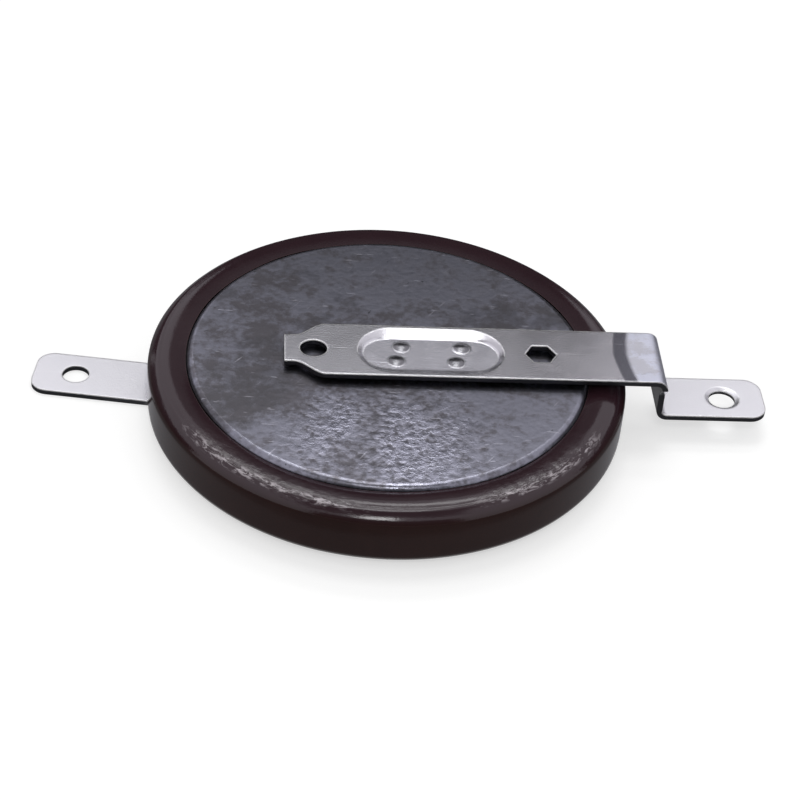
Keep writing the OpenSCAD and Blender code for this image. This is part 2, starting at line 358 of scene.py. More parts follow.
# %% Mottle: clouds, blotches and grain of three sizes
def build_mottle():
    """Uneven tone as on tarnished or handled metal. Coordinates are in millimetres."""
    tree, given, result = start_group(
        "mottle",
        {"Place": None, "Clouds per mm": 0.15, "Blotches per mm": 0.7, "Grain per mm": 4.0,
         "Cloud share": 0.5, "Grain share": 0.2},
        {"Mask": "NodeSocketFloat", "Clouds": "NodeSocketFloat", "Grain": "NodeSocketFloat"})
    clouds = put(tree, "ShaderNodeTexNoise",
                 {"Vector": given["Place"], "Scale": given["Clouds per mm"], "Detail": 3.0,
                  "Roughness": 0.55, "Distortion": 0.6}).outputs[0]
    blotches = put(tree, "ShaderNodeTexNoise",
                   {"Vector": given["Place"], "Scale": given["Blotches per mm"], "Detail": 4.0,
                    "Roughness": 0.6, "Distortion": 0.3}).outputs[0]
    grain = put(tree, "ShaderNodeTexNoise",
                {"Vector": given["Place"], "Scale": given["Grain per mm"], "Detail": 3.0,
                 "Roughness": 0.65}).outputs[0]
    clouds = remap(tree, clouds, 0.3, 0.7)
    blotches = remap(tree, blotches, 0.3, 0.7)
    grain = remap(tree, grain, 0.3, 0.7)
    cloud_part = times(tree, clouds, given["Cloud share"])
    grain_part = times(tree, grain, given["Grain share"])
    left = calc(tree, "SUBTRACT", calc(tree, "SUBTRACT", 1.0, given["Cloud share"]), given["Grain share"])
    total = calc(tree, "ADD", calc(tree, "ADD", cloud_part, grain_part), times(tree, blotches, left))
    tree.links.new(total, result["Mask"])
    tree.links.new(clouds, result["Clouds"])
    tree.links.new(grain, result["Grain"])
    return tree


# %% Scratches: noise drawn out along one direction
NOISE_PEAK = 0.72          # hardly any of the noise is above this


def build_scratches():
    """Thin lines along one direction. Stretch is how much longer than wide the lines are."""
    tree, given, result = start_group(
        "scratches",
        {"Place": None, "Turn": 0.0, "Lines per mm": 6.0, "Stretch": 30.0, "Share": 0.1},
        {"Mask": "NodeSocketFloat"})
    turned = put(tree, "ShaderNodeVectorRotate", {"Vector": given["Place"], "Angle": given["Turn"]},
                 rotation_type="Z_AXIS").outputs[0]
    squeeze = put(tree, "ShaderNodeCombineXYZ",
                  {"X": calc(tree, "DIVIDE", 1.0, given["Stretch"]), "Y": 1.0, "Z": 1.0}).outputs[0]
    drawn_out = vector_calc(tree, "MULTIPLY", turned, squeeze)[0]
    lines = put(tree, "ShaderNodeTexNoise",
                {"Vector": drawn_out, "Scale": given["Lines per mm"], "Detail": 2.0,
                 "Roughness": 0.7}).outputs[0]
    edge = calc(tree, "SUBTRACT", NOISE_PEAK, times(tree, given["Share"], 0.6))
    mask = put(tree, "ShaderNodeMapRange",
               {"Value": lines, "From Min": edge, "From Max": calc(tree, "ADD", edge, 0.06)},
               interpolation_type="SMOOTHSTEP").outputs["Result"]
    tree.links.new(mask, result["Mask"])
    return tree


# %% Dents: a skin of shallow dimples with sharp little pits
def build_dents():
    """Height of a hammered, pitted skin, from 0 to 1."""
    tree, given, result = start_group(
        "dents", {"Place": None, "Dimples per mm": 2.2, "Pits per mm": 1.3, "Pit size": 0.12},
        {"Height": "NodeSocketFloat", "Pits": "NodeSocketFloat"})
    wobble = put(tree, "ShaderNodeTexNoise",
                 {"Vector": given["Place"], "Scale": 1.4, "Detail": 2.0}).outputs[1]
    place = vector_calc(tree, "ADD", given["Place"], wobble)[0]
    dimples = put(tree, "ShaderNodeTexVoronoi",
                  {"Vector": place, "Scale": given["Dimples per mm"], "Smoothness": 0.7},
                  feature="SMOOTH_F1").outputs[0]
    near = put(tree, "ShaderNodeTexVoronoi", {"Vector": place, "Scale": given["Pits per mm"]}).outputs[0]
    rim = times(tree, given["Pit size"], 0.4)
    pits = put(tree, "ShaderNodeMapRange",
               {"Value": near, "From Min": given["Pit size"], "From Max": rim},
               interpolation_type="SMOOTHSTEP").outputs["Result"]
    height = calc(tree, "SUBTRACT", times(tree, dimples, 0.8), times(tree, pits, 0.5))
    tree.links.new(height, result["Height"])
    tree.links.new(pits, result["Pits"])
    return tree


# %% Worn edge: where a rounded normal leaves the true one
def build_worn_edge():
    """Mask of the sharp edges, broken up by noise, how far they face up, and a rounded normal."""
    tree, given, result = start_group(
        "worn edge", {"Place": None, "Width": 0.04 * MM, "Breaks per mm": 3.0},
        {"Mask": "NodeSocketFloat", "Upper": "NodeSocketFloat", "Normal": "NodeSocketVector"})
    rounded = put(tree, "ShaderNodeBevel", {"Radius": given["Width"]}, samples=6).outputs[0]
    true = put(tree, "ShaderNodeNewGeometry").outputs["Normal"]
    same = vector_calc(tree, "DOT_PRODUCT", rounded, true)["Value"]
    turned = remap(tree, calc(tree, "SUBTRACT", 1.0, same), 0.004, 0.07)
    breaks = put(tree, "ShaderNodeTexNoise",
                 {"Vector": given["Place"], "Scale": given["Breaks per mm"], "Detail": 3.0}).outputs[0]
    broken = remap(tree, breaks, 0.3, 0.6, 0.6, 1.0)
    upward = put(tree, "ShaderNodeSeparateXYZ", {0: rounded}).outputs["Z"]
    tree.links.new(times(tree, turned, broken), result["Mask"])
    tree.links.new(remap(tree, upward, 0.08, 0.34), result["Upper"])
    tree.links.new(rounded, result["Normal"])
    return tree


mottle, scratches, dents, worn_edge = build_mottle(), build_scratches(), build_dents(), build_worn_edge()
print("groups:", [g.name for g in (mottle, scratches, dents, worn_edge)])


# %% A material starts with its shader and a place in millimetres
def start_material(name):
    """A bare material: its tree, its shader, and the place on the object in millimetres."""
    material = bpy.data.materials.new(name)
    material.use_nodes = True
    tree = material.node_tree
    tree.nodes.clear()
    shader = put(tree, "ShaderNodeBsdfPrincipled")
    put(tree, "ShaderNodeOutputMaterial", {"Surface": shader.outputs[0]})
    place = put(tree, "ShaderNodeTexCoord").outputs["Object"]
    place = put(tree, "ShaderNodeVectorMath", {0: place, 3: 1 / MM}, operation="SCALE").outputs[0]
    return material, tree, shader, place


def dress(material, *names):
    """Give CAD nodes or pieces a material, in place of what they came with."""
    for name in names:
        target = nodes.get(name) or bpy.data.objects[name]
        target.data.materials.clear()
        target.data.materials.append(material)
    print(f"{material.name}: {len(material.node_tree.nodes)} nodes, on", ", ".join(names))


# %% [markdown]
# ## Tarnished cap steel
#
# The cap is bare steel that has been handled and stored: marbled grey with darker smudges, small pits and
# short fine scratches. One flat grey would look like plastic. Where fingers rubbed the near half of the
# face, its skin is hammered into short dents, and there a lighter, bluish painted sheen is mixed into the
# colour in fine grain. The clouds change both the colour and the roughness, so they also show where the
# metal mirrors something bright.

# %% Build the cap's material
# The near half of the face: deeper dents, lower roughness and a lighter bluish painted sheen in the colour
SHEEN_PLACE = (-0.5, -6.6, cap_top_z / MM)
SHEEN_REACH = 7.0
CAP_DARK, CAP_LIGHT = (0.106, 0.102, 0.111, 1), (0.228, 0.232, 0.272, 1)
CAP_SMUDGE = (0.080, 0.079, 0.085, 1)
# The colour of the painted sheen on the near half of the face, not a colour of the steel
CAP_PAINTED_SHEEN = (0.40, 0.405, 0.48, 1)
CAP_SCRATCH = (0.60, 0.60, 0.66, 1)
CAP_PIT = (0.05, 0.05, 0.055, 1)
CAP_EDGE = (0.42, 0.41, 0.42, 1)


def build_cap_steel():
    material, tree, shader, place = start_material("cap steel")
    tone = use_group(tree, mottle, {"Place": place, "Clouds per mm": 0.16, "Blotches per mm": 0.75,
                                    "Grain per mm": 2.6, "Cloud share": 0.34, "Grain share": 0.28})
    smudge = use_group(tree, mottle, {"Place": place, "Clouds per mm": 0.11, "Blotches per mm": 0.45,
                                      "Grain per mm": 1.8, "Cloud share": 0.55, "Grain share": 0.15})
    skin = use_group(tree, dents, {"Place": place, "Dimples per mm": 1.9, "Pits per mm": 0.9,
                                   "Pit size": 0.08})
    lines = use_group(tree, scratches, {"Place": place, "Turn": 0.10, "Lines per mm": 4.5,
                                        "Stretch": 7.0, "Share": 0.09})
    cross = use_group(tree, scratches, {"Place": place, "Turn": 2.2, "Lines per mm": 3.8,
                                        "Stretch": 12.0, "Share": 0.05})
    edge = use_group(tree, worn_edge, {"Place": place, "Width": 0.06 * MM, "Breaks per mm": 2.0})
    away = vector_calc(tree, "DISTANCE", place, SHEEN_PLACE)["Value"]
    sheen_zone = remap(tree, away, SHEEN_REACH, 0.25 * SHEEN_REACH)
    sheen_zone = times(tree, sheen_zone, remap(tree, tone["Clouds"], 0.0, 0.8, 0.35, 1.0))

    marbled = remap(tree, tone["Mask"], 0.25, 0.74)
    smudged = remap(tree, smudge["Mask"], 0.46, 0.22, 0.0, 0.50)
    marks = calc(tree, "MAXIMUM", lines["Mask"], cross["Mask"])
    colour = mix_colour(tree, marbled, CAP_DARK, CAP_LIGHT)
    colour = mix_colour(tree, smudged, colour, CAP_SMUDGE)
    # Painted sheen: a lighter bluish colour in fine grain over the near half of the face
    colour = mix_colour(tree, times(tree, sheen_zone, tone["Grain"]), colour, CAP_PAINTED_SHEEN)
    colour = mix_colour(tree, times(tree, marks, 0.30), colour, CAP_SCRATCH)
    colour = mix_colour(tree, times(tree, skin["Pits"], 0.8), colour, CAP_PIT)
    colour = mix_colour(tree, edge["Mask"], colour, CAP_EDGE)

    rough = remap(tree, tone["Mask"], 0.0, 1.0, 0.40, 0.28)
    rough = calc(tree, "SUBTRACT", rough, times(tree, sheen_zone, 0.06))
    depth = remap(tree, sheen_zone, 0.0, 1.0, 0.22, 1.0)
    grain = times(tree, times(tree, tone["Grain"], depth), 0.6)
    height = calc(tree, "ADD", times(tree, skin["Height"], depth), grain)
    height = calc(tree, "SUBTRACT", height, times(tree, marks, 0.12))
    bump = put(tree, "ShaderNodeBump", {"Strength": 0.6, "Distance": 0.030 * MM, "Height": height,
                                        "Normal": edge["Normal"]}).outputs[0]
    fill(tree, shader, {"Metallic": 1.0, "Base Color": colour, "Roughness": rough, "Normal": bump})
    return material


dress(build_cap_steel(), "negative_cap")

# %% [markdown]
# ## Plated strip
#
# Both strips are stamped from one plated sheet: smooth, satin and much brighter than the cap. The sides cut
# by the shears are painted near black, as bare sheared metal and as painted shade, and the rounded corners
# above them that face up carry a painted highlight. The weld bosses are tinted by the heat, and the ends
# that get soldered are tinned, which makes them whiter. Near the bend the arm carries a painted reflection:
# a dark band, and from there to the bend a bright, uneven patch. Both run in a slight curve across the
# strip. The welds are found from the CAD strip's own points.

# %% Find the welds on the pressed pad
PAD_REACH = 6 * MM
ABOVE_PAD_FLOOR = 0.33 * MM
BELOW_ARM_TOP = 0.02 * MM


def weld_places():
    """Middle of each weld boss: the height with most points between the pad's floor and the arm's top is
    a ring round all four bosses, one in each quarter round their common middle."""
    low, high = cap_top_z + ABOVE_PAD_FLOOR, arm_top_z - BELOW_ARM_TOP
    inside = [p.co / MM for p in nodes["negative_strip"].data.vertices
              if low < p.co.z < high and abs(p.co.x) < PAD_REACH]
    heights = [round(p.z, 3) for p in inside]
    level = max(set(heights), key=heights.count)
    ring = [p for p in inside if abs(p.z - level) < 0.002]
    middle = sum(ring, Vector()) / len(ring)
    places = []
    for side_x in (-1, 1):
        for side_y in (-1, 1):
            own = [p for p in ring if side_x * (p.x - middle.x) > 0 and side_y * (p.y - middle.y) > 0]
            places.append(sum(own, Vector()) / len(own))
    return places


welds = weld_places()
print("welds at:", [tuple(round(c, 2) for c in w) for w in welds])

# %% Build the strip's material
TINNED_FROM, TINNED_BLEND = 12.5, 0.2
TINNED_BELOW_Z, TINNED_FULL_Z = 2.2, 1.6
# The arm grows darker from the middle out to this distance, towards the bend
DARKEST_FROM_X = 11.0
# Where the painted reflection near the bend lies: a dark band, then a bright patch up to the bend
DARK_BAND_START, BRIGHT_PATCH_START = 11.66, 12.40
BAND_CURVE = 0.07
WELD_TINT_R = 0.50
ARM_Z = cap_top_z / MM
PRESSED_Z = ARM_Z + 0.3
PLATED_DARK, PLATED_LIGHT = (0.51, 0.51, 0.53, 1), (0.58, 0.58, 0.60, 1)
PLATED_TOWARDS_BEND = (0.46, 0.455, 0.475, 1)
# A lighter colour on the pad's floor
PAD_FLOOR_LIGHTER = (0.68, 0.68, 0.72, 1)
PLATED_LINE = (0.80, 0.80, 0.82, 1)
WELD_TINT = (0.18, 0.18, 0.19, 1)
# The next two are the colours of the painted reflection near the bend, dark band and bright patch
PAINTED_DARK_BAND = (0.15, 0.15, 0.17, 1)
PAINTED_BRIGHT_PATCH = (0.60, 0.62, 0.70, 1)
TINNED_END = (0.70, 0.705, 0.72, 1)
# Near-black sides: bare sheared metal, darkened further as painted shade
SHEARED_SIDE_AND_SHADE = (0.07, 0.07, 0.075, 1)
# Painted highlight along the rounded upper corners of the strips
PAINTED_EDGE_HIGHLIGHT = (0.92, 0.92, 0.92, 1)


def build_strip_metal():
    material, tree, shader, place = start_material("strip metal")
    tone = use_group(tree, mottle, {"Place": place, "Clouds per mm": 0.22, "Blotches per mm": 1.2,
                                    "Grain per mm": 9.0, "Cloud share": 0.5, "Grain share": 0.15})
    lines = use_group(tree, scratches, {"Place": place, "Turn": 0.02, "Lines per mm": 9.0,
                                        "Stretch": 60.0, "Share": 0.10})
    edge = use_group(tree, worn_edge, {"Place": place, "Width": 0.14 * MM, "Breaks per mm": 2.5})
    parts = put(tree, "ShaderNodeSeparateXYZ", {0: place}).outputs
    reach = calc(tree, "ABSOLUTE", parts["X"])
    tinned = times(tree, remap(tree, reach, TINNED_FROM - TINNED_BLEND, TINNED_FROM + TINNED_BLEND),
                   remap(tree, parts["Z"], TINNED_BELOW_Z, TINNED_FULL_Z))
    normal = put(tree, "ShaderNodeNewGeometry").outputs["True Normal"]
    facing = put(tree, "ShaderNodeSeparateXYZ", {0: normal}).outputs["Z"]
    # Painted shade: faces that stand upright are made near black, partly as bare sheared metal
    side_faces = remap(tree, calc(tree, "ABSOLUTE", facing), 0.35, 0.10)

    # Painted reflection near the bend: a dark curved band across the arm and a bright uneven patch beyond it
    curve = times(tree, times(tree, parts["Y"], parts["Y"]), BAND_CURVE)
    along = calc(tree, "SUBTRACT", parts["X"], curve)
    along = calc(tree, "ADD", along, times(tree, tone["Clouds"], 0.08))
    on_arm = remap(tree, parts["Z"], ARM_Z, ARM_Z + 0.1)
    past_band_start = times(tree, remap(tree, along, DARK_BAND_START - 0.06, DARK_BAND_START + 0.12), on_arm)
    sheen_zone = times(tree, remap(tree, along, BRIGHT_PATCH_START - 0.15, BRIGHT_PATCH_START + 0.15), on_arm)
    dark_band_reflection = calc(tree, "SUBTRACT", past_band_start, sheen_zone)
    bright_patch_reflection = times(tree, sheen_zone, remap(tree, tone["Mask"], 0.3, 0.6, 0.35, 1.0))

    near_weld = 100.0
    for weld in welds:
        away = vector_calc(tree, "DISTANCE", place, weld)["Value"]
        near_weld = calc(tree, "MINIMUM", near_weld, away)
    tinted = remap(tree, near_weld, WELD_TINT_R + 0.08, WELD_TINT_R - 0.12)
    sunk = remap(tree, parts["Z"], PRESSED_Z + 0.10, PRESSED_Z + 0.04)
    # The pad's floor is made lighter than the arm, less so on faces that slope
    lighter_pad_floor = times(tree, sunk, times(tree, on_arm, facing))
    # The arm's colour grows darker from the middle out towards the bend
    darker_towards_bend = remap(tree, parts["X"], 0.0, DARKEST_FROM_X)
    # Painted highlight: rounded edges that face up are made nearly white and less metallic
    edge_highlight = times(tree, edge["Mask"], edge["Upper"])

    colour = mix_colour(tree, tone["Mask"], PLATED_DARK, PLATED_LIGHT)
    for mask, tint in ((times(tree, darker_towards_bend, on_arm), PLATED_TOWARDS_BEND), (lighter_pad_floor, PAD_FLOOR_LIGHTER),
                       (tinted, WELD_TINT), (dark_band_reflection, PAINTED_DARK_BAND), (bright_patch_reflection, PAINTED_BRIGHT_PATCH),
                       (tinned, TINNED_END), (times(tree, lines["Mask"], 0.18), PLATED_LINE),
                       (side_faces, SHEARED_SIDE_AND_SHADE), (edge_highlight, PAINTED_EDGE_HIGHLIGHT)):
        colour = mix_colour(tree, mask, colour, tint)

    rough = remap(tree, tone["Mask"], 0.0, 1.0, 0.27, 0.21)
    rough = calc(tree, "ADD", rough, times(tree, side_faces, 0.16))
    rough = calc(tree, "ADD", rough, times(tree, sheen_zone, 0.14))
    rough = calc(tree, "ADD", rough, times(tree, tinned, 0.12))
    height = calc(tree, "SUBTRACT", times(tree, tone["Grain"], 0.4), times(tree, lines["Mask"], 0.2))
    uneven = times(tree, times(tree, bright_patch_reflection, tone["Clouds"]), 2.0)
    height = calc(tree, "ADD", height, uneven)
    bump = put(tree, "ShaderNodeBump", {"Strength": 0.6, "Distance": 0.010 * MM, "Height": height,
                                        "Normal": edge["Normal"]}).outputs[0]
    metallic = remap(tree, edge_highlight, 0.0, 1.0, 1.0, 0.35)
    fill(tree, shader, {"Metallic": metallic, "Base Color": colour, "Roughness": rough, "Normal": bump})
    return material


dress(build_strip_metal(), "negative_strip", "positive_strip")

# %% [markdown]
# ## Drawn can steel
#
# Only the can's bottom shows, inside the film's lower lip. Its brushing runs in rings, because the cup
# turns while it is drawn and cleaned. Rings need no image: noise that is read at the distance from the
# axis is the same all the way round.

# %% Build the can's material
CAN_DARK, CAN_LIGHT = (0.40, 0.40, 0.42, 1), (0.60, 0.60, 0.62, 1)
CAN_RING = (0.72, 0.72, 0.74, 1)


def build_can_steel():
    material, tree, shader, place = start_material("can steel")
    tone = use_group(tree, mottle, {"Place": place, "Clouds per mm": 0.2, "Blotches per mm": 0.9,
                                    "Grain per mm": 6.0, "Cloud share": 0.5, "Grain share": 0.2})
    edge = use_group(tree, worn_edge, {"Place": place, "Width": 0.05 * MM, "Breaks per mm": 2.0})
    flat = vector_calc(tree, "MULTIPLY", place, (1, 1, 0))[0]
    radius = vector_calc(tree, "LENGTH", flat)["Value"]
    wander = calc(tree, "ADD", radius, times(tree, tone["Clouds"], 0.05))
    rings_mask = put(tree, "ShaderNodeTexNoise", {"W": wander, "Scale": 9.0, "Detail": 5.0,
                                                  "Roughness": 0.7}, noise_dimensions="1D").outputs[0]
    colour = mix_colour(tree, tone["Mask"], CAN_DARK, CAN_LIGHT)
    colour = mix_colour(tree, remap(tree, rings_mask, 0.4, 0.7, 0.0, 0.35), colour, CAN_RING)
    colour = mix_colour(tree, edge["Mask"], colour, CAN_RING)
    height = calc(tree, "ADD", times(tree, rings_mask, 0.5), times(tree, tone["Grain"], 0.3))
    bump = put(tree, "ShaderNodeBump", {"Strength": 0.35, "Distance": 0.01 * MM, "Height": height,
                                        "Normal": edge["Normal"]}).outputs[0]
    rough = remap(tree, tone["Mask"], 0.0, 1.0, 0.38, 0.28)
    fill(tree, shader, {"Metallic": 1.0, "Base Color": colour, "Roughness": rough, "Normal": bump})
    return material


dress(build_can_steel(), "cell_can")

# %% [markdown]
# ## Gasket plastic
#
# The sealing ring lies under the film's upper lip. It is dark moulded plastic with a matt skin. Only a
# sliver of it can be seen, down the hair-wide gap between the lip and the cap.

# %% Build the gasket's material
GASKET_DARK, GASKET_LIGHT = (0.012, 0.010, 0.013, 1), (0.030, 0.026, 0.032, 1)
GASKET_EDGE = (0.05, 0.045, 0.052, 1)


def build_gasket_plastic():
    material, tree, shader, place = start_material("gasket plastic")
    tone = use_group(tree, mottle, {"Place": place, "Clouds per mm": 0.4, "Blotches per mm": 2.0,
                                    "Grain per mm": 12.0, "Cloud share": 0.4, "Grain share": 0.3})
    edge = use_group(tree, worn_edge, {"Place": place, "Width": 0.03 * MM, "Breaks per mm": 4.0})
    colour = mix_colour(tree, tone["Mask"], GASKET_DARK, GASKET_LIGHT)
    colour = mix_colour(tree, edge["Mask"], colour, GASKET_EDGE)
    bump = put(tree, "ShaderNodeBump", {"Strength": 0.3, "Distance": 0.01 * MM, "Height": tone["Grain"],
                                        "Normal": edge["Normal"]}).outputs[0]
    rough = remap(tree, tone["Mask"], 0.0, 1.0, 0.5, 0.65)
    fill(tree, shader, {"Base Color": colour, "Roughness": rough, "Normal": bump})
    return material


dress(build_gasket_plastic(), "sealing_gasket")

# %% [markdown]
# ## Sleeve film
#
# The film is dark maroon-brown plastic. On the wall it is handled and rather dull. Over the shoulder it was
# pulled tight, and there it is glossy, with a very fine crazing that is finer than the creases in the mesh;
# its colour there carries a purple painted sheen. The crazing is a bump whose noise is drawn out round the
# cell. Along the shoulder's crest, in the gathered stretches, its peaks carry bright streaks of painted
# highlight. The same gathered stretches as in the mesh are found by their direction from the axis.

# %% Build the film's material
CREST_R = top_flat_r + 0.12 * MM
CRAZE_STRETCH = 0.3        # the crazing is read on a ring this much smaller, so that it runs round the cell
FILM_DARK, FILM_LIGHT = (0.0150, 0.0042, 0.0030, 1), (0.0220, 0.0068, 0.0050, 1)
# Purple painted sheen over the shoulder
FILM_SHOULDER_SHEEN = (0.033, 0.016, 0.026, 1)
# Colour of the painted highlight streaks along the shoulder's crest
FILM_PAINTED_STREAK = (0.66, 0.60, 0.64, 1)
FILM_EDGE = (0.14, 0.08, 0.08, 1)


def build_sleeve_film():
    material, tree, shader, place = start_material("sleeve film")
    tone = use_group(tree, mottle, {"Place": place, "Clouds per mm": 0.18, "Blotches per mm": 0.9,
                                    "Grain per mm": 7.0, "Cloud share": 0.5, "Grain share": 0.2})
    edge = use_group(tree, worn_edge, {"Place": place, "Width": 0.04 * MM, "Breaks per mm": 3.0})
    parts = put(tree, "ShaderNodeSeparateXYZ", {0: place}).outputs
    flat = vector_calc(tree, "MULTIPLY", place, (1, 1, 0))[0]
    outward = vector_calc(tree, "NORMALIZE", flat)[0]
    radius = vector_calc(tree, "LENGTH", flat)["Value"]

    tight = 0.0
    for middle, half_width in GATHERED:
        towards = (math.cos(math.radians(middle)), math.sin(math.radians(middle)), 0)
        match = vector_calc(tree, "DOT_PRODUCT", outward, towards)["Value"]
        outer, inner = (math.cos(math.radians(part * half_width)) for part in (1, 0.45))
        tight = calc(tree, "MAXIMUM", tight, remap(tree, match, outer, inner))

    round_place = put(tree, "ShaderNodeVectorMath", {0: outward, 3: CRAZE_STRETCH * film_r / MM},
                      operation="SCALE").outputs[0]
    down = times(tree, calc(tree, "SUBTRACT", parts["Z"], radius), 0.8)
    down = put(tree, "ShaderNodeCombineXYZ", {"Z": down}).outputs[0]
    craze_place = vector_calc(tree, "ADD", round_place, down)[0]
    craze = put(tree, "ShaderNodeTexNoise", {"Vector": craze_place, "Scale": 5.5, "Detail": 4.0,
                                             "Roughness": 0.65, "Distortion": 0.6}).outputs[0]
    on_shoulder = remap(tree, parts["Z"], wall_high_z / MM + 0.1, wall_high_z / MM + 0.55)
    off_crest = calc(tree, "ABSOLUTE", calc(tree, "SUBTRACT", radius, CREST_R / MM))
    on_crest = times(tree, remap(tree, off_crest, 0.34, 0.08), on_shoulder)
    # Painted highlight: bright streaks on the crazing's peaks along the crest, in the gathered stretches
    painted_streaks = times(tree, times(tree, on_crest, tight), remap(tree, craze, 0.48, 0.64))

    colour = mix_colour(tree, tone["Mask"], FILM_DARK, FILM_LIGHT)
    # Painted sheen: the shoulder is tinted lighter purple
    colour = mix_colour(tree, times(tree, on_shoulder, 0.5), colour, FILM_SHOULDER_SHEEN)
    colour = mix_colour(tree, times(tree, painted_streaks, 0.62), colour, FILM_PAINTED_STREAK)
    colour = mix_colour(tree, times(tree, edge["Mask"], 0.35), colour, FILM_EDGE)

    rough = remap(tree, tone["Mask"], 0.0, 1.0, 0.09, 0.16)
    depth = remap(tree, tight, 0.0, 1.0, 0.25, 1.6)
    crazed = times(tree, times(tree, craze, on_shoulder), depth)
    height = calc(tree, "ADD", crazed, times(tree, tone["Grain"], 0.10))
    bump = put(tree, "ShaderNodeBump", {"Strength": 0.5, "Distance": 0.02 * MM, "Height": height}).outputs[0]
    shine = remap(tree, on_shoulder, 0.0, 1.0, 0.35, 0.46)
    fill(tree, shader, {"Specular IOR Level": shine, "Base Color": colour, "Roughness": rough,
                        "Normal": bump})
    return material


dress(build_sleeve_film(), "shrunk_film")

# %% [markdown]
# ## Table and surroundings
#
# The table and the room are pale and plain. Both show as white to the camera and in reflections, while
# the light that they throw on the cell stays at a plain level. The table keeps a part of its own shading,
# so the soft shadow under the cell stays. Seen from below the table is clear, so the underside can be
# looked at.

# %% Table
def is_seen(tree):
    """1 for rays from the camera, from mirrors and through glass, and 0 for the light itself."""
    path = put(tree, "ShaderNodeLightPath").outputs
    seen = calc(tree, "MAXIMUM", path["Is Camera Ray"], path["Is Glossy Ray"])
    return calc(tree, "MAXIMUM", seen, path["Is Transmission Ray"])


FLOOR_HALF = 2.0
FLOOR_MATT, FLOOR_GLOW = 0.62, 0.55
floor_z = cad_box[0].z - 0.01 * MM
corners = [(x * FLOOR_HALF, y * FLOOR_HALF, floor_z) for x, y in ((-1, -1), (1, -1), (1, 1), (-1, 1))]
floor_mesh = bpy.data.meshes.new("table")
floor_mesh.from_pydata(corners, [], [(0, 1, 2, 3)])
floor = bpy.data.objects.new("table", floor_mesh)
bpy.context.scene.collection.objects.link(floor)
floor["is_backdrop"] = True

floor_material = bpy.data.materials.new("pale table")
floor_material.use_nodes = True
tree = floor_material.node_tree
tree.nodes.clear()
matt = put(tree, "ShaderNodeBsdfDiffuse", {"Color": grey(FLOOR_MATT)}).outputs[0]
glow = put(tree, "ShaderNodeEmission",
           {"Color": grey(1.0), "Strength": times(tree, is_seen(tree), FLOOR_GLOW)}).outputs[0]
both = put(tree, "ShaderNodeAddShader", {0: matt, 1: glow}).outputs[0]
clear = put(tree, "ShaderNodeBsdfTransparent").outputs[0]
below = put(tree, "ShaderNodeNewGeometry").outputs["Backfacing"]
put(tree, "ShaderNodeOutputMaterial",
    {"Surface": put(tree, "ShaderNodeMixShader", {0: below, 1: both, 2: clear}).outputs[0]})
floor_mesh.materials.append(floor_material)
print(f"table: {2 * FLOOR_HALF:.0f} m square, {-floor_z / MM:.2f} mm below the part")

# %% Room
world = bpy.data.worlds.new("pale room")
bpy.context.scene.world = world
world.use_nodes = True
tree = world.node_tree
tree.nodes.clear()
ROOM_LIGHT, ROOM_SEEN = 0.55, 1.0
ROOM_MIRRORED = (0.96, 0.93, 1.0, 1)
strength = remap(tree, is_seen(tree), 0.0, 1.0, ROOM_LIGHT, ROOM_SEEN)
mirrored = put(tree, "ShaderNodeLightPath").outputs["Is Glossy Ray"]
tint = mix_colour(tree, mirrored, grey(1.0), ROOM_MIRRORED)
put(tree, "ShaderNodeOutputWorld",
    {"Surface": put(tree, "ShaderNodeBackground", {"Color": tint, "Strength": strength}).outputs[0]})
print(f"room: {ROOM_LIGHT} as light, {ROOM_SEEN} where it is seen")

# %% [markdown]
# ## Lamps
#
# A soft lamp hangs overhead, a little behind the cell, and brightens the faces that tip towards the
# camera, such as the far wall of the pressed pad. A long low lamp behind shines along the film's ridge,
# whose brightest streaks are painted highlight in the film's colour, and one high in front brightens the
# crisp line along the shoulder's lower edge.

# %% Lamps
LAMP_DISTANCE = 0.30


def soft_lamp(name, place, width, height, power):
    """A lamp with a flat rectangular front that shines at the cell."""
    data = bpy.data.lights.new(name, "AREA")
    data.shape = "RECTANGLE"
    data.size = width
    data.size_y = height
    data.energy = power
    lamp = bpy.data.objects.new(name, data)
    lamp.location = place
    lamp.rotation_mode = "QUATERNION"
    lamp.rotation_quaternion = (-Vector(place)).to_track_quat("-Z", "Y")
    bpy.context.scene.collection.objects.link(lamp)
    print(f"{name}: {power} W, {1000 * width:.0f} x {1000 * height:.0f} mm")


def lamp_place(azimuth, elevation):
    """A place round the cell: azimuth 0 is in front, 90 to the right, elevation above the table."""
    a, e, d = math.radians(azimuth), math.radians(elevation), LAMP_DISTANCE
    return (d * math.sin(a) * math.cos(e), -d * math.cos(a) * math.cos(e), d * math.sin(e))


soft_lamp("overhead lamp", lamp_place(180, 76), width=0.10, height=0.08, power=0.12)
soft_lamp("strip lamp", lamp_place(176, 56), width=0.17, height=0.035, power=0.08)
soft_lamp("front lamp", lamp_place(-5, 50), width=0.06, height=0.05, power=0.10)

# %% [markdown]
# ## Flags
#
# Polished metal and glossy film show what is around them, and in a room that is white all round they look
# flat. Photographers stand dark and grey boards just outside the picture, so that shiny things get darker
# tones and clear outlines. These boards do the same: they show in reflections alone and take no light
# away from the cell. The two boards in front leave a bright gap between them, with the front lamp in it,
# and the film's shoulder mirrors that gap as a crisp line. No board is black, so the cell also looks right
# from the sides and from behind.

# %% Boards that only mirrors see
BOARD_BLUE = 0.06
MAT_Z, HALF_RING_STEPS = 0.01, 32


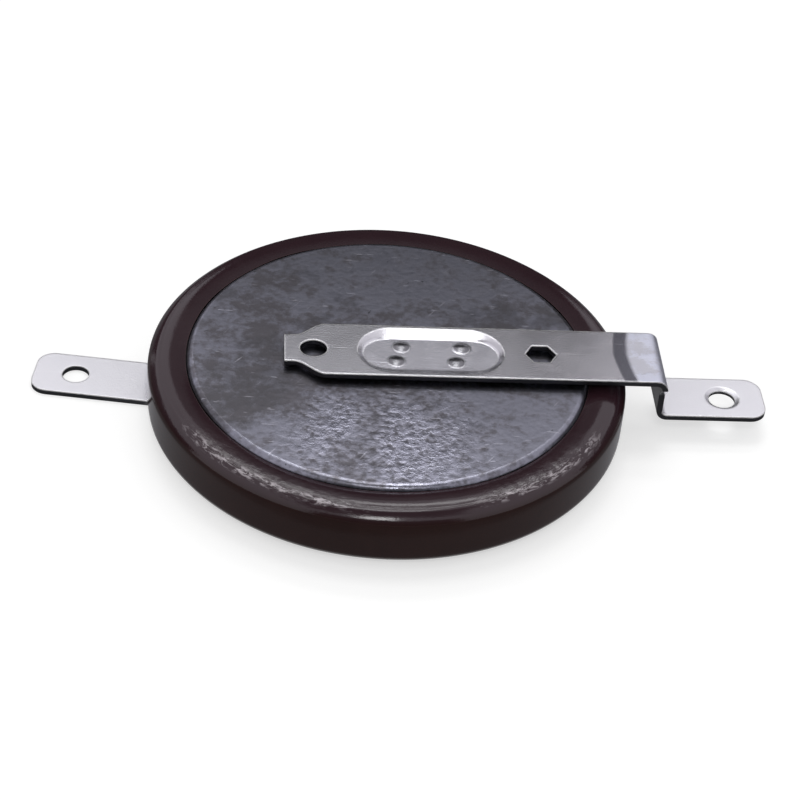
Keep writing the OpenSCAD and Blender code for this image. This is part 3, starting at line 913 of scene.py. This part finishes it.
def flag(name, corners, level):
    """A board through the given corners, in millimetres, that mirrors see as a grey of this level."""
    mesh = bpy.data.meshes.new(name)
    mesh.from_pydata([Vector(c) * MM for c in corners], [], [tuple(range(len(corners)))])
    piece = bpy.data.objects.new(name, mesh)
    bpy.context.scene.collection.objects.link(piece)
    piece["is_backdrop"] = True
    piece.visible_camera = False
    piece.visible_diffuse = False
    piece.visible_shadow = False
    material = bpy.data.materials.new(name)
    material.use_nodes = True
    material.node_tree.nodes.clear()
    shine = put(material.node_tree, "ShaderNodeEmission",
                {"Color": grey(level, BOARD_BLUE), "Strength": 1.0}).outputs[0]
    put(material.node_tree, "ShaderNodeOutputMaterial", {"Surface": shine})
    mesh.materials.append(material)
    print(f"{name}: level {level}")


def upright(name, x_range, y, z_range, level):
    """An upright board across the view, in front of the cell or behind it."""
    (x0, x1), (z0, z1) = x_range, z_range
    flag(name, [(x0, y, z0), (x1, y, z0), (x1, y, z1), (x0, y, z1)], level)


def ring_mat(name, inner, outer, level):
    """A ring on the table round the cell, as two half rings, open under the cell."""
    for start in (0, 180):
        turns = [math.radians(start + 180 * i / HALF_RING_STEPS) for i in range(HALF_RING_STEPS + 1)]
        path = [(inner * math.cos(a), inner * math.sin(a), MAT_Z) for a in turns]
        path += [(outer * math.cos(a), outer * math.sin(a), MAT_Z) for a in reversed(turns)]
        flag(f"{name} {start}", path, level)


# %% Stand the boards up, behind the cell, at its sides and in front, and lay the mats
BACK_Y, LOW_BACK_Y, FRONT_Y = 60, 62, -160
SIDE_X, LOW_TOP, FRONT_TOP = 62, 26, 300
upright("grey board", (-15.5, 10), BACK_Y, (43, 61), 0.26)
upright("darker grey board", (10, 24.6), BACK_Y, (43, 61), 0.17)
upright("dim board", (-15.5, 24.6), BACK_Y, (24, 43), 0.06)
upright("dark strip", (24.6, 26.3), BACK_Y, (24, 61), 0.05)
upright("low dark board", (-60, 60), LOW_BACK_Y, (1, LOW_TOP), 0.05)
for name, x in {"left board": -SIDE_X, "right board": SIDE_X}.items():
    flag(name, [(x, 60, 1), (x, -5, 1), (x, -5, LOW_TOP), (x, 60, LOW_TOP)], 0.08)
upright("low front board", (-100, 100), FRONT_Y, (1, 150), 0.13)
upright("front board", (-150, 150), FRONT_Y, (235, FRONT_TOP), 0.20)
flag("top front board", [(-150, FRONT_Y, FRONT_TOP), (150, FRONT_Y, FRONT_TOP),
                         (150, -14, 330), (-150, -14, 330)], 0.20)
ring_mat("near mat", 12.6, 14.8, 0.30)
ring_mat("wide mat", 14.8, 150, 0.20)

# %% [markdown]
# ## Camera
#
# The camera's place comes from fitting the can's, cap's and tabs' outlines to where they are in the
# photograph. It stands in front, a little to the left and 38 degrees up, close to the cell, with a slight
# roll. Blender's camera looks along its own -Z, so its third axis points back from the cell.

# %% Camera
CAMERA_PLACE = Vector((-7.7053, -88.5119, 71.0135)) * MM
CAMERA_AZIMUTH, CAMERA_ELEVATION, CAMERA_ROLL = (math.radians(a) for a in (-5.4773, 38.3455, 4.8967))
LENS_MM, SENSOR_MM = 97.2065, 36

back = Vector((math.sin(CAMERA_AZIMUTH) * math.cos(CAMERA_ELEVATION),
               -math.cos(CAMERA_AZIMUTH) * math.cos(CAMERA_ELEVATION),
               math.sin(CAMERA_ELEVATION)))
level_right = (-back).cross(Vector((0, 0, 1))).normalized()
level_up = level_right.cross(-back)
right = level_right * math.cos(CAMERA_ROLL) + level_up * math.sin(CAMERA_ROLL)
up = level_up * math.cos(CAMERA_ROLL) - level_right * math.sin(CAMERA_ROLL)

camera_data = bpy.data.cameras.new("camera")
camera_data.sensor_width = SENSOR_MM
camera_data.lens = LENS_MM
camera_data.clip_start = 1 * MM
camera_data.clip_end = 10
camera = bpy.data.objects.new("camera", camera_data)
bpy.context.scene.collection.objects.link(camera)
turn = Matrix((right, up, back)).transposed()
camera.matrix_world = Matrix.Translation(CAMERA_PLACE) @ turn.to_4x4()
bpy.context.scene.camera = camera
bpy.context.scene.view_settings.view_transform = "Standard"
print("camera at", [round(c / MM, 1) for c in CAMERA_PLACE], "mm with a", round(LENS_MM), "mm lens")

# %% Write the sizes and finish
visual_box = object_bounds()
for name, (low, high) in {"cad": cad_box, "visual": visual_box}.items():
    print(name, "box in mm:", [round((b - a) / MM, 2) for a, b in zip(low, high)])
